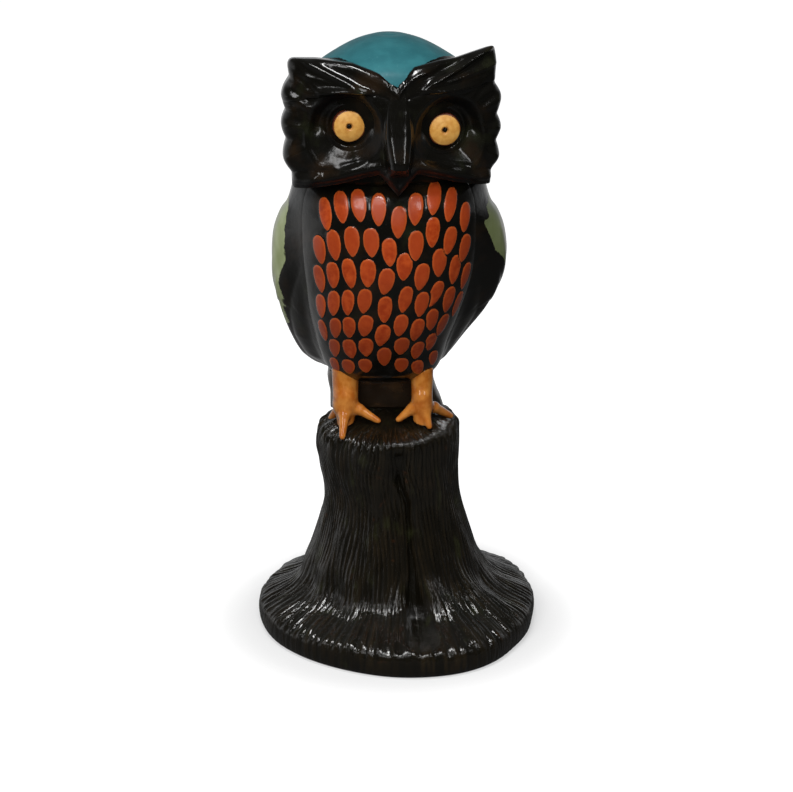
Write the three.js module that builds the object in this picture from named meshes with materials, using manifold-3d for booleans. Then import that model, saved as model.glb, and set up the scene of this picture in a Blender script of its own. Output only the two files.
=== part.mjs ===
// A painted wooden owl on a tree stump, assembled from carved pieces, dowels and pegs.
// Millimetres, +Z up. The origin is the middle of the stump's flat underside; the owl faces -Y.
import * as THREE from "three";
import { mergeVertices } from "three/addons/utils/BufferGeometryUtils.js";
import Module from "manifold-3d";

const wasm = await Module();
wasm.setup();

// Driving dimensions.
const GAP = 0.4; // glue gap between touching pieces
const OWL_X = -3.6; // the owl stands a little to one side of the base
const HEAD_TURN = THREE.MathUtils.degToRad(6); // the head looks a little to its left
const LEAN = 0.1; // sideways lean of the body, per millimetre between these two heights
const LEAN_TOP = 190;
const LEAN_BOTTOM = 155;

const EYE_SPACING = 44;
const EYE_HEIGHT = { left: 260.4, right: 262.7 };
const EYE_RADIUS = 7.6;
const EYE_FRONT = -41;
const SOCKET_RADIUS = 15;
const SOCKET_DEPTH = 5.5;
const PUPIL_RADIUS = 1.4;
const SCALLOP_PITCH = 14.4; // height of one scallop on the sides of the face
const SCALLOP_DEPTH = 0.022; // as a part of the face's width
const SCALLOP_CREST = 246.5; // height of the lowest scallop's middle

const LEG_RADIUS = { left: 5.4, right: 6.5 };
const TOE_RADII = [3.8, 1.8]; // at the ankle and at the tip
const TUFT_RADII = [10.5, 2]; // at the brow and at the tip
const TENON_RADIUS = 4;
const TENON_START = 124; // inside the shank, below the body
const SHANK_TOP = 137;

const DOWEL_RADIUS = 6;
const BODY_DOWEL_ENDS = [84, 165];
const NECK_DOWEL_ENDS = [208, 252];
const FOOT_DOWEL_RADIUS = 2;
const FOOT_DOWEL_BELOW = 18; // below and above the ankle
const FOOT_DOWEL_ABOVE = 5;
const TUFT_PEG_RADIUS = 1.5;
const PEG_RADIUS = 2.5;
const PEG_LENGTH = 17;
const PEG_X = 39.5; // middle of a wing peg, from the body's middle
const PEG_Y = 10;
const PEG_HEIGHTS = { upper: 203, lower: 176 };

const SIDES = { left: 1, right: -1 }; // the owl's own left is +X

// Paints.
const BLACK = paint(0x17130f, 0.12);
const BARK = paint(0x1f1a14, 0.2);
const BLUE = paint(0x3b7f8c, 0.25);
const OCHRE = paint(0xdf9a35, 0.3);
const ORANGE_OCHRE = paint(0xc98232, 0.25);
const OLIVE = paint(0x7f8c68, 0.3);
const BARE_WOOD = paint(0xb98d5e, 0.7);

function paint(color, roughness) {
  return new THREE.MeshStandardMaterial({ color, roughness, metalness: 0 });
}

// A three.js geometry as a manifold solid.
function solidOf(geometry) {
  const bare = geometry.clone();
  bare.deleteAttribute("normal");
  bare.deleteAttribute("uv");
  const merged = mergeVertices(bare, 1e-4);
  return new wasm.Manifold(
    new wasm.Mesh({
      numProp: 3,
      vertProperties: new Float32Array(merged.attributes.position.array),
      triVerts: new Uint32Array(merged.index.array),
    }),
  );
}

function geometryOf(solid) {
  const mesh = solid.getMesh();
  const geometry = new THREE.BufferGeometry();
  geometry.setAttribute("position", new THREE.BufferAttribute(mesh.vertProperties, 3));
  geometry.setIndex(new THREE.BufferAttribute(mesh.triVerts, 1));
  return geometry;
}

// The solid with every vertex pushed out along its normal, to cut a seat that leaves a glue gap.
function grown(solid, gap = GAP) {
  const geometry = geometryOf(solid);
  geometry.computeVertexNormals();
  const place = geometry.attributes.position;
  const normal = geometry.attributes.normal;
  for (let i = 0; i < place.count; i += 1) {
    place.setXYZ(
      i,
      place.getX(i) + gap * normal.getX(i),
      place.getY(i) + gap * normal.getY(i),
      place.getZ(i) + gap * normal.getZ(i),
    );
  }
  return solidOf(geometry);
}

// The piece with a seat cut for each neighbour, without the crumbs that a cut may leave.
function seated(piece, ...neighbours) {
  const cut = neighbours.reduce((rest, neighbour) => rest.subtract(grown(neighbour)), piece);
  const parts = cut.decompose();
  return parts.reduce((best, part) => (part.volume() > best.volume() ? part : best));
}

function moved(solid, matrix) {
  return solid.transform(matrix.elements);
}

// A solid lofted through level sections [z, half width, half depth, centre x, centre y].
// squareness above 2 makes the sections boxier; ripple(z, angle) scales each section's radius.
function tower(sections, levels, around, squareness = 2, ripple = () => 1) {
  const girth = new THREE.CatmullRomCurve3(sections.map(([z, w, d]) => new THREE.Vector3(w, d, z)));
  const axis = new THREE.CatmullRomCurve3(
    sections.map(([z, , , x = 0, y = 0]) => new THREE.Vector3(x, y, z)),
  );
  const profile = [new THREE.Vector2(0, 0)];
  for (let i = 0; i <= levels; i += 1) {
    profile.push(new THREE.Vector2(1, i / levels));
  }
  profile.push(new THREE.Vector2(0, 1));
  const geometry = new THREE.LatheGeometry(profile, around).rotateX(Math.PI / 2);
  const place = geometry.attributes.position;
  for (let i = 0; i < place.count; i += 1) {
    const t = THREE.MathUtils.clamp(place.getZ(i), 0, 1);
    const section = girth.getPoint(t);
    const centre = axis.getPoint(t);
    const x = place.getX(i);
    const y = place.getY(i);
    const angle = Math.atan2(y, x);
    const boxiness =
      (Math.abs(Math.cos(angle)) ** squareness + Math.abs(Math.sin(angle)) ** squareness) **
      (-1 / squareness);
    const scale = boxiness * ripple(section.z, angle);
    place.setXYZ(i, centre.x + section.x * x * scale, centre.y + section.y * y * scale, section.z);
  }
  return solidOf(geometry);
}

// A round-ended tapered rod from one point to another.
function spindle(from, to, startRadius, endRadius, around = 10) {
  const start = new THREE.Vector3(...from);
  const direction = new THREE.Vector3(...to).sub(start);
  const length = direction.length();
  const profile = [];
  const arcSteps = 2;
  for (let i = 0; i <= arcSteps; i += 1) {
    const angle = (Math.PI / 2) * (i / arcSteps);
    profile.push(new THREE.Vector2(startRadius * Math.sin(angle), -startRadius * Math.cos(angle)));
  }
  for (let i = arcSteps; i >= 0; i -= 1) {
    const angle = (Math.PI / 2) * (i / arcSteps);
    profile.push(
      new THREE.Vector2(endRadius * Math.sin(angle), length + endRadius * Math.cos(angle)),
    );
  }
  profile[0].x = 0;
  profile.at(-1).x = 0;
  const geometry = new THREE.LatheGeometry(profile, around);
  const turn = new THREE.Quaternion().setFromUnitVectors(
    new THREE.Vector3(0, 1, 0),
    direction.clone().normalize(),
  );
  geometry.applyQuaternion(turn).translate(start.x, start.y, start.z);
  return solidOf(geometry);
}

// A straight dowel or peg with flat ends, centred between two points.
function rod(from, to, radius, around = 16) {
  const start = new THREE.Vector3(...from);
  const end = new THREE.Vector3(...to);
  const direction = end.clone().sub(start);
  const geometry = new THREE.CylinderGeometry(radius, radius, direction.length(), around);
  const turn = new THREE.Quaternion().setFromUnitVectors(
    new THREE.Vector3(0, 1, 0),
    direction.clone().normalize(),
  );
  const middle = start.add(end).multiplyScalar(0.5);
  geometry.applyQuaternion(turn).translate(middle.x, middle.y, middle.z);
  return solidOf(geometry);
}

function leanAt(z) {
  return -LEAN * THREE.MathUtils.clamp(LEAN_TOP - z, 0, LEAN_TOP - LEAN_BOTTOM);
}

function leaning(sections) {
  return sections.map(([z, w, d, x = 0, y = 0]) => [z, w, d, x + leanAt(z), y]);
}

// The stump: a flared foot with a low rim, a waist, and a domed top.
function stump() {
  const sections = [
    [0, 68, 68],
    [2.5, 70.2, 70.2],
    [7, 70.3, 70.3],
    [11.5, 67.5, 67.5],
    [16, 60.5, 60.5],
    [20.5, 53, 53],
    [26.5, 47, 47],
    [37, 43.5, 43.5, -1],
    [51, 38.7, 38.7, -1.2],
    [64, 35, 35, -1.3],
    [74, 33.2, 33.2, -2],
    [86, 34, 34, -3.6],
    [97, 35.4, 35, -4.8],
    [104, 35, 34.6, -4.8],
    [108.3, 33.4, 33, -4.8],
    [111, 29.5, 29, -4.8],
    [113, 23, 23, -4.8],
    [114.7, 12, 12, -4.8],
    [115.3, 4, 4, -4.8],
  ];
  const lobes = 5;
  const lobeDepth = 0.014;
  const footTop = 40;
  const footBottom = 16;
  const ripple = (z, angle) => {
    const inFoot = 1 - THREE.MathUtils.smoothstep(z, footBottom, footTop);
    return 1 + lobeDepth * Math.cos(lobes * angle + 0.6) * (1 - inFoot) + footBulge(angle) * inFoot;
  };
  return tower(sections, 20, 40, 2, ripple);
}

// How far the foot departs from a circle: [strength, middle, width], angles in radians from the front.
function footBulge(angle) {
  const bulges = [
    [0.085, 0.5, 0.42],
    [0.03, 0, 0.3],
    [-0.01, -0.75, 0.4],
    [0.045, 2.2, 0.4],
    [0.045, -2.2, 0.4],
  ];
  const fromFront = THREE.MathUtils.euclideanModulo(angle + (3 / 2) * Math.PI, 2 * Math.PI) - Math.PI;
  return bulges.reduce(
    (sum, [strength, middle, width]) => sum + strength * Math.exp(-(((fromFront - middle) / width) ** 2)),
    0,
  );
}

// The body: an egg with a full breast, narrowing to the haunch.
function torso() {
  const sections = [
    [131, 15, 12, 0, 3],
    [132.5, 23, 18.5, 0, 2],
    [137, 27.4, 23.5],
    [144, 30.6, 28],
    [153, 33.6, 32.8],
    [168, 39, 39],
    [186, 44, 42.7],
    [202, 46.5, 43.4],
    [215, 46.7, 42.7],
    [224, 45.4, 41],
    [231, 43, 38],
    [236, 36.5, 33],
    [239, 24, 24],
    [239.8, 9, 8],
  ];
  return tower(leaning(sections), 17, 30, 2.15);
}

// The outer surface that both wings are cut from.
function wingSurface() {
  const sections = [
    [126, 16, 22, -1, 10],
    [131, 28.5, 31, -1.5, 8],
    [140, 36.5, 37, -2, 6],
    [152, 43.2, 41, -1.5, 5],
    [166, 50, 45, -0.5, 4],
    [180, 55, 47.5, 0, 3],
    [193, 56.6, 48, 0, 3],
    [205, 55.6, 46, 0, 3],
    [214, 52.4, 43.5, 0, 2],
    [219, 49, 42, 0, 1],
    [225, 46.8, 40.5, 0, 1],
    [231.5, 45.4, 39.5, 0, 1],
  ];
  return tower(leaning(sections), 14, 28, 2.1);
}

// One wing: the outer surface inside a leaf outline seen from the side, hollowed by the body.
function wing(side, body) {
  const leaf = new THREE.Shape();
  leaf.moveTo(-6, 228);
  leaf.bezierCurveTo(-38, 224, -44, 196, -22, 168);
  leaf.bezierCurveTo(-8, 152, 6, 138, 20, 128);
  leaf.bezierCurveTo(40, 132, 58, 160, 58, 190);
  leaf.bezierCurveTo(58, 214, 30, 230, -6, 228);
  const innerX = 5;
  const outerX = 70;
  const block = new THREE.ExtrudeGeometry(leaf, {
    depth: outerX - innerX,
    bevelEnabled: false,
    curveSegments: 5,
  });
  // The outline's x becomes y and its y becomes z; the depth runs along +X.
  block.applyMatrix4(new THREE.Matrix4().set(0, 0, 1, innerX, 1, 0, 0, 0, 0, 1, 0, 0, 0, 0, 0, 1));
  let cutter = solidOf(block);
  if (side < 0) {
    cutter = cutter.mirror([1, 0, 0]);
  }
  return seated(wingSurface().intersect(cutter), body);
}

// The haunch behind the legs, with a short fan of tail feathers over the back of the stump.
function tail() {
  const haunch = tower(
    leaning([
      [98, 28, 9, 3, 15],
      [106, 29, 11, 2.6, 12],
      [114, 29, 14, 2.4, 9],
      [122, 28.8, 16.5, 2.6, 8],
      [127, 27, 17.5, 1.8, 7],
      [132, 25.4, 18.4, 0.7, 5.5],
      [140, 25, 20, 0, 4],
    ]),
    6,
    18,
    2.6,
  );
  const fan = tower(
    [
      [80, 15, 3, -5, 43],
      [86, 19, 4.4, -5, 42],
      [100, 22, 6, -6, 38.5],
      [116, 22.5, 8.5, -6.5, 31],
      [130, 21, 11, -6, 23],
      [140, 16, 9, -5, 18],
    ],
    5,
    18,
    2.8,
  );
  return haunch.add(fan);
}

// Where each leg stands and where its toes end, in the owl's frame.
const FEET = {
  left: {
    hip: [16, -14.5, 146],
    ankle: [16, -16, 120.5],
    toes: [
      [4.6, -19, 114.4],
      [19.6, -21.5, 111.6],
      [30.5, -5, 110.6],
    ],
  },
  right: {
    hip: [-21.4, -14.5, 146],
    ankle: [-21.4, -16, 120.5],
    toes: [
      [-5.4, -20, 114],
      [-22.8, -28, 109.2],
      [-30.8, -8, 110.8],
    ],
  },
};

// A leg: a round shank with a tenon above and three tapered toes that lie on the stump.
function leg(name, ...neighbours) {
  const foot = FEET[name];
  const [hipX, hipY] = foot.hip;
  const radius = LEG_RADIUS[name];
  let shank = spindle(foot.ankle, [hipX, hipY, SHANK_TOP], radius, radius, 16);
  for (const toe of foot.toes) {
    shank = shank.add(spindle(foot.ankle, toe, ...TOE_RADII));
  }
  return seated(shank, ...neighbours).add(tenon(foot));
}

// The tenon on top of a leg; with an allowance it is the hole for it.
function tenon(foot, allowance = 0) {
  const [x, y, z] = foot.hip;
  return rod([x, y, TENON_START], [x, y, z + allowance], TENON_RADIUS + allowance);
}

// The skull, from the neck to the crown.
function skull() {
  const sections = [
    [226, 30, 26, 0, 2],
    [230, 38, 32, 0, 2],
    [236, 43, 37, 0, 2],
    [248, 45, 40, 0, 2],
    [262, 45, 41, 0, 2],
    [275, 42, 41, 0, 0],
    [285, 35, 37.5, 0, -3],
    [291.5, 26, 30, 0, -3.5],
    [296.5, 16.5, 20.5, 0, -3.5],
    [299.3, 7.5, 10, 0, -3.5],
    [300, 2.5, 3.5, 0, -3.5],
  ];
  return tower(sections, 14, 28, 2.1);
}

// The facial disc: scalloped sides, brows that rise towards the ears, and two eye sockets.
function faceMask() {
  const sections = [
    [231, 41, 15, -1.2, -22],
    [234, 45.5, 18.5, -1.2, -23],
    [241, 47.5, 20.5, -1.2, -24],
    [252, 50, 21.5, -1.2, -24.5],
    [264, 50.4, 21, -1.2, -24],
    [274, 49.3, 18.5, -1.2, -23],
    [279, 47.3, 14, -1.2, -23],
  ];
  const browBase = 250;
  const browTop = 279;
  const browRise = 0.22;
  const ripple = (z) =>
    1 + SCALLOP_DEPTH * Math.cos((2 * Math.PI * (z - SCALLOP_CREST)) / SCALLOP_PITCH);
  const plain = geometryOf(tower(sections, 14, 32, 2.5, ripple));
  const place = plain.attributes.position;
  for (let i = 0; i < place.count; i += 1) {
    const z = place.getZ(i);
    const lift = THREE.MathUtils.smoothstep(z, browBase, browTop) * browRise;
    place.setZ(i, z + lift * Math.abs(place.getX(i)));
  }
  let mask = solidOf(plain);
  for (const [name, side] of Object.entries(SIDES)) {
    const socket = new THREE.SphereGeometry(SOCKET_RADIUS, 18, 10);
    const front = EYE_FRONT - SOCKET_RADIUS + SOCKET_DEPTH;
    socket.translate((side * EYE_SPACING) / 2, front, EYE_HEIGHT[name]);
    mask = mask.subtract(solidOf(socket));
  }
  return mask;
}

// A domed eye disc, set in its socket.
function eye(name, pin) {
  const profile = [
    new THREE.Vector2(0, -3),
    new THREE.Vector2(EYE_RADIUS - 0.6, -3),
    new THREE.Vector2(EYE_RADIUS, -1.6),
    new THREE.Vector2(EYE_RADIUS, 0.4),
    new THREE.Vector2(EYE_RADIUS - 0.9, 1.5),
    new THREE.Vector2(EYE_RADIUS * 0.55, 2.5),
    new THREE.Vector2(0, 3),
  ];
  const disc = new THREE.LatheGeometry(profile, 20).rotateX(Math.PI);
  const sunk = EYE_FRONT + SOCKET_DEPTH - 1;
  disc.translate((SIDES[name] * EYE_SPACING) / 2, sunk, EYE_HEIGHT[name]);
  return seated(solidOf(disc), pin);
}

function eyePin(name) {
  const x = (SIDES[name] * EYE_SPACING) / 2;
  const z = EYE_HEIGHT[name];
  const pinHead = EYE_FRONT + SOCKET_DEPTH - 3.6;
  const pinLength = 8;
  return rod([x, pinHead, z], [x, pinHead + pinLength, z], PUPIL_RADIUS, 12);
}

// The beak: a long ridge between the eyes, ending in a point below the face.
function beak() {
  const sections = [
    [229.5, 1, 1.5, 0, -42],
    [233, 3.5, 4.5, 0, -42],
    [240, 6, 8, 0, -43],
    [250, 6.4, 9.5, 0, -43],
    [262, 5, 8.5, 0, -42],
    [272, 3.4, 6.5, 0, -41],
    [278, 1.2, 3, 0, -40],
  ];
  return tower(sections, 9, 12, 1.7);
}

// An ear tuft: a flattened point rising from the brow.
function earTuft(side) {
  const root = [side * 29, -14, 279];
  const tip = [side * 45.5, -21, 293];
  return spindle(root, tip, ...TUFT_RADII, 14);
}

function tuftPeg(side) {
  return rod([side * 24, -8, 277], [side * 36, -15, 286.5], TUFT_PEG_RADIUS, 10);
}

function wingPeg(side, z) {
  const x = side * PEG_X + leanAt(z);
  const reach = PEG_LENGTH / 2;
  return rod([x - reach, PEG_Y, z], [x + reach, PEG_Y, z], PEG_RADIUS, 12);
}

function piece(name, solid, material) {
  const mesh = new THREE.Mesh(geometryOf(solid), material);
  mesh.name = name;
  return mesh;
}

const figure = new THREE.Group();
const owl = new THREE.Group();
owl.position.x = OWL_X;
const head = new THREE.Group();
head.rotation.z = HEAD_TURN;
figure.add(owl);
owl.add(head);

const toOwl = new THREE.Matrix4().makeTranslation(-OWL_X, 0, 0);
const fromOwl = toOwl.clone().invert();
const toHead = new THREE.Matrix4().makeRotationZ(-HEAD_TURN);

// An upright dowel at x, y between two heights.
function upright(x, y, [bottom, top], radius, around) {
  return rod([x, y, bottom], [x, y, top], radius, around);
}

// Dowels, in the owl's frame.
const bodyDowel = upright(-5, 8, BODY_DOWEL_ENDS, DOWEL_RADIUS);
const neckDowel = upright(0, 2, NECK_DOWEL_ENDS, DOWEL_RADIUS);
const footDowels = {};
for (const [name, foot] of Object.entries(FEET)) {
  const [x, y, z] = foot.ankle;
  const ends = [z - FOOT_DOWEL_BELOW, z + FOOT_DOWEL_ABOVE];
  footDowels[name] = upright(x, y, ends, FOOT_DOWEL_RADIUS, 10);
}

// The body and what is fixed to it.
const body = torso();
const stumpInOwl = moved(stump(), toOwl);
const plainTail = tail();

const torsoHoles = [bodyDowel, neckDowel];
for (const [name, side] of Object.entries(SIDES)) {
  const pegs = Object.entries(PEG_HEIGHTS).map(([level, z]) => [level, wingPeg(side, z)]);
  for (const [level, peg] of pegs) {
    owl.add(piece(`wing_peg_${level}_${name}`, peg, BARE_WOOD));
    torsoHoles.push(peg);
  }
  const wingSolid = seated(wing(side, body), ...pegs.map(([, peg]) => peg), plainTail);
  owl.add(piece(`wing_${name}`, wingSolid, OLIVE));
}
for (const name of Object.keys(FEET)) {
  const legSolid = leg(name, body, stumpInOwl, plainTail);
  owl.add(piece(`leg_${name}`, seated(legSolid, footDowels[name]), ORANGE_OCHRE));
  owl.add(piece(`foot_dowel_${name}`, footDowels[name], BARE_WOOD));
}
const tenonHoles = Object.values(FEET).map((foot) => tenon(foot, GAP));
const drilledTorso = tenonHoles.reduce((rest, hole) => rest.subtract(hole), seated(body, ...torsoHoles));
owl.add(piece("torso", drilledTorso, BLACK));
owl.add(piece("tail", seated(plainTail, body, stumpInOwl, bodyDowel), BARK));
owl.add(piece("body_dowel", bodyDowel, BARE_WOOD));
owl.add(piece("neck_dowel", neckDowel, BARE_WOOD));

// The head, in its own turned frame.
const bodyInHead = moved(body, toHead);
const plainSkull = skull();
const plainMask = faceMask();
const fittings = {};
for (const [name, side] of Object.entries(SIDES)) {
  const pin = eyePin(name);
  fittings[`eye_pin_${name}`] = [pin, BLACK];
  fittings[`eye_${name}`] = [eye(name, pin), OCHRE];
  fittings[`tuft_peg_${name}`] = [tuftPeg(side), BARE_WOOD];
}
for (const [name, [solid, material]] of Object.entries(fittings)) {
  head.add(piece(name, solid, material));
}
const fitted = Object.values(fittings).map(([solid]) => solid);
const mask = seated(plainMask, plainSkull, bodyInHead, ...fitted);
head.add(piece("face_mask", mask, BLACK));
head.add(piece("beak", seated(beak(), plainMask, plainSkull, bodyInHead), BLACK));
const drilledSkull = seated(plainSkull, bodyInHead, moved(neckDowel, toHead), ...fitted);
head.add(piece("head", drilledSkull, BLUE));
for (const [name, side] of Object.entries(SIDES)) {
  const peg = fittings[`tuft_peg_${name}`][0];
  head.add(piece(`ear_tuft_${name}`, seated(earTuft(side), plainMask, plainSkull, peg), BLACK));
}

// The stump, drilled for the dowels that come down from the owl.
const stumpSolid = seated(stumpInOwl, bodyDowel, ...Object.values(footDowels));
figure.add(piece("stump", moved(stumpSolid, fromOwl), BARK));

export default figure;
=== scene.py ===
"""A painted, lacquered owl figurine on a combed tree stump, sculpted around the CAD model.

Lengths in the sculpting functions are millimetres; meshes are scaled to metres when they are made.
The owl faces -Y, and +X is the owl's left. The head has its own frame (u, v, w), turned about the
owl's axis.
"""

import math

import bpy
import numpy as np
import openvdb
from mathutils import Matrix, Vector


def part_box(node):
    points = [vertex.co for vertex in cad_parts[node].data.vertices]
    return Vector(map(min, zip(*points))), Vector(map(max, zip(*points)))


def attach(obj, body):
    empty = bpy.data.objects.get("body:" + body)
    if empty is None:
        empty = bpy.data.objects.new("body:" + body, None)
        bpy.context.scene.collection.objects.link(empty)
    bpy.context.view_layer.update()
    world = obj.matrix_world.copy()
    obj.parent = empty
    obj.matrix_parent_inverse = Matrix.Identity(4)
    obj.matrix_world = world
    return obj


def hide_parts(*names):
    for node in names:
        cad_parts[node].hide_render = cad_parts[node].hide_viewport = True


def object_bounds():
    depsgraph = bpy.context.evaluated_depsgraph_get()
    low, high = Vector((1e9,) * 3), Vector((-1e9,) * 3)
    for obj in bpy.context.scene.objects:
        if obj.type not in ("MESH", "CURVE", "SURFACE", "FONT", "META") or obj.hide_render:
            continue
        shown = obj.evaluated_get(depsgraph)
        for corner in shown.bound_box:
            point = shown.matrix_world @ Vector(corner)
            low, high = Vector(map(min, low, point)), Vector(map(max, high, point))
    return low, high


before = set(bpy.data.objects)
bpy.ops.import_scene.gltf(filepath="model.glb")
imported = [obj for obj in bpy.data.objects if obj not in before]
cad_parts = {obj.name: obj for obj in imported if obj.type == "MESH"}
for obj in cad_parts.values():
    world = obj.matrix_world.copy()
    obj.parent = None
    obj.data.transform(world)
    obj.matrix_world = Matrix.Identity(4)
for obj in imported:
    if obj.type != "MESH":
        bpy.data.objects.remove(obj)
cad_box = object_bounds()

MM = 0.001
FIGURE_HEIGHT = cad_box[1].z


def box_mm(node, room=0.0):
    """The low and high corners of a node's box, with some room around it."""
    low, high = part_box(node)
    return np.array(low) / MM - room, np.array(high) / MM + room


# ---------------- shape helpers


def step(low, high, value):
    """Smooth 0 to 1 between low and high; low may be above high."""
    t = np.clip((value - low) / (high - low), 0, 1)
    return t * t * (3 - 2 * t)


def bump(value, width):
    """1 at zero, falling off smoothly on both sides."""
    return np.exp(-((value / width) ** 2))


def join(a, b, soft):
    """Smooth union of two distances."""
    h = np.clip(0.5 + 0.5 * (b - a) / soft, 0, 1)
    return b + (a - b) * h - soft * h * (1 - h)


def meet(a, b, soft):
    """Smooth intersection of two distances."""
    return -join(-a, -b, soft)


def waves(angle, height, seed, count, around, along):
    """A gentle random function of angle and height in mm, periodic in angle, about -1 to 1."""
    rng = np.random.default_rng(seed)
    total = 0
    for _ in range(count):
        turns, rise, start = rng.integers(1, around + 1), rng.uniform(-1, 1), rng.uniform(0, 2 * math.pi)
        total = total + np.sin(turns * angle + 2 * math.pi * (rise / along) * height + start)
    return total / math.sqrt(count)


class Profile:
    """Half width, half depth and centre of a body's level sections, smoothly interpolated.

    The table's rows are (z, half width, half depth, centre x, centre y). The sections are
    superellipses: ellipses at a squareness of 2, and boxier above it.
    """

    SAMPLES = 600

    def __init__(self, rows, squareness=2.1):
        self.squareness = squareness
        table = np.array(rows, float)
        t = np.linspace(0, len(table) - 1, self.SAMPLES)
        i = np.clip(t.astype(int), 0, len(table) - 2)
        f = (t - i)[:, None]
        padded = np.vstack([2 * table[0] - table[1], table, 2 * table[-1] - table[-2]])
        a, b, c, d = padded[i], padded[i + 1], padded[i + 2], padded[i + 3]
        curve = 0.5 * (
            2 * b + (c - a) * f + (2 * a - 5 * b + 4 * c - d) * f**2 + (3 * b - a - 3 * c + d) * f**3
        )
        curve[:, 0] = np.maximum.accumulate(curve[:, 0])
        self.curve = curve
        span = np.hypot(np.diff(curve[:, 0]), np.diff(curve[:, 1]))
        self.travel = np.concatenate([[0], np.cumsum(span)])

    def at(self, z):
        """Half width, half depth, centre x and centre y at each height."""
        heights = self.curve[:, 0] + np.arange(self.SAMPLES) * 1e-7
        return [np.interp(z, heights, self.curve[:, k]) for k in range(1, 5)]

    def rows(self, count):
        """(z, w, d, x, y) at evenly spaced places along the outline."""
        travel = np.linspace(0, self.travel[-1], count)
        return [np.interp(travel, self.travel, self.curve[:, k]) for k in range(5)]

    def reach(self, angle):
        """Radius factor that turns a circle into the superellipse."""
        c, s = np.abs(np.cos(angle)), np.abs(np.sin(angle))
        return (c**self.squareness + s**self.squareness) ** (-1 / self.squareness)

    def distance(self, x, y, z):
        """About the distance to the lofted surface: negative inside."""
        w, d, cx, cy = self.at(z)
        p = (np.abs(x - cx) / w) ** self.squareness + (np.abs(y - cy) / d) ** self.squareness
        radial = (p ** (1 / self.squareness) - 1) * np.minimum(w, d)
        low, high = self.curve[0, 0], self.curve[-1, 0]
        return np.maximum(radial, np.maximum(low - z, z - high))


def make_object(name, points_mm, faces, attributes=None):
    """A smooth-shaded mesh object from points in millimetres and arrays of its faces' corners."""
    mesh = bpy.data.meshes.new(name)
    corners = [face for block in faces for face in block.tolist()]
    mesh.from_pydata((points_mm * MM).tolist(), [], corners, shade_flat=False)
    for key, values in (attributes or {}).items():
        layer = mesh.attributes.new(key, "FLOAT", "POINT")
        layer.data.foreach_set("value", np.asarray(values, np.float32).ravel())
    mesh.validate()
    piece = bpy.data.objects.new(name, mesh)
    bpy.context.scene.collection.objects.link(piece)
    return piece


def grid_quads(levels, around):
    """Quads of a surface of levels x around points that closes on itself both ways."""
    i, j = np.arange(levels)[:, None], np.arange(around)[None, :]
    k, n = (j + 1) % around, (i + 1) % levels
    return np.stack([i * around + j, i * around + k, n * around + k, n * around + j], -1)


def tube_faces(levels, around):
    """The quads between a tube's levels, and the two fans that close its ends."""
    ring = np.arange(around)
    after = (ring + 1) % around
    bottom, top = levels * around, levels * around + 1
    last = (levels - 1) * around
    low_fan = np.stack([after, ring, np.full(around, bottom)], -1)
    high_fan = np.stack([last + ring, last + after, np.full(around, top)], -1)
    return [grid_quads(levels, around)[:-1].reshape(-1, 4), low_fan, high_fan]


def with_ends(grid):
    """The grid's points or values in a row, and then the middles of its first and last level."""
    flat = grid.reshape(-1, *grid.shape[2:])
    return np.concatenate([flat, [grid[0].mean(0), grid[-1].mean(0)]])


def tube_object(name, points, attributes=None):
    """A closed tube object from points[level, around, 3]; its ends close on their middles."""
    full = {key: with_ends(values) for key, values in (attributes or {}).items()}
    return make_object(name, with_ends(points), tube_faces(*points.shape[:2]), full)


def sculpt(name, distance, room, voxel, place=None, paint=None):
    """Meshes the surface where distance(x, y, z) is zero, in voxels between two corners of a room.

    paint(points) gives the named attributes at the points, and place(points) moves them afterwards.
    """
    low, high = np.array(room, float)
    axes = [np.arange(a, b + voxel, voxel, dtype=np.float32) for a, b in zip(low, high)]
    x, y, z = np.meshgrid(*axes, indexing="ij", sparse=True)
    field = np.empty([len(a) for a in axes], np.float32)
    field[...] = distance(x, y, z)
    steepness = np.sqrt(sum(g * g for g in np.gradient(field, voxel)))
    field = np.clip(field / np.maximum(steepness, 0.4), -4, 4).astype(np.float32)
    volume = openvdb.FloatGrid(4.0)
    volume.copyFromArray(field)
    points, quads = volume.convertToQuads(0.0)
    points = relax(points * voxel + low, quads, times=2)
    attributes = paint(points) if paint else None
    if place:
        points = place(points)
    return make_object(name, points, [quads], attributes)


def relax(points, quads, times):
    """Evens out the voxel steps: each point moves half way to the middle of its neighbours."""
    start = quads.ravel()
    end = np.roll(quads, -1, axis=1).ravel()
    a, b = np.concatenate([start, end]), np.concatenate([end, start])
    count = np.bincount(a, minlength=len(points))[:, None]
    for _ in range(times):
        middle = np.stack([np.bincount(a, points[b, k], len(points)) for k in range(3)], 1) / count
        points = points + 0.5 * (middle - points)
    return points


def dress(piece, slot, paint, *nodes):
    """Paints a piece and puts it in place of its CAD nodes."""
    piece.data.materials.append(paint.material)
    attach(piece, "root")
    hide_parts(*nodes)


# ---------------- sizes from the frame

stump_low, stump_high = box_mm("stump")
torso_low, torso_high = box_mm("torso")

BASE_RADIUS = (stump_high[0] - stump_low[0]) / 2
STUMP_TOP = stump_high[2]
OWL_X = (torso_high[0] + torso_low[0]) / 2
CROWN = box_mm("head")[1][2]
HEAD_TURN = math.radians(6)
# The eyes' heights, half the distance between them and their radius.
EYE_Z = {"left": 260.2, "right": 262.7}
EYE_HALF = 22.0
EYE_RADIUS = 7.35
# From LEAN_TOP down to LEAN_BOTTOM the body goes over to the owl's right, by this slope.
LEAN = 0.1
LEAN_TOP = 190
LEAN_BOTTOM = 155
# Room that a sculpted piece has around its CAD node's box.
ROOM = 3


def lean_at(z):
    return -LEAN * np.clip(LEAN_TOP - np.asarray(z, float), 0, LEAN_TOP - LEAN_BOTTOM)


def leaning(rows):
    """The rows of an owl-frame table, moved to the owl's place on the stump."""
    return [(z, w, d, x + float(lean_at(z)) + OWL_X, y) for z, w, d, x, y in rows]


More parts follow.
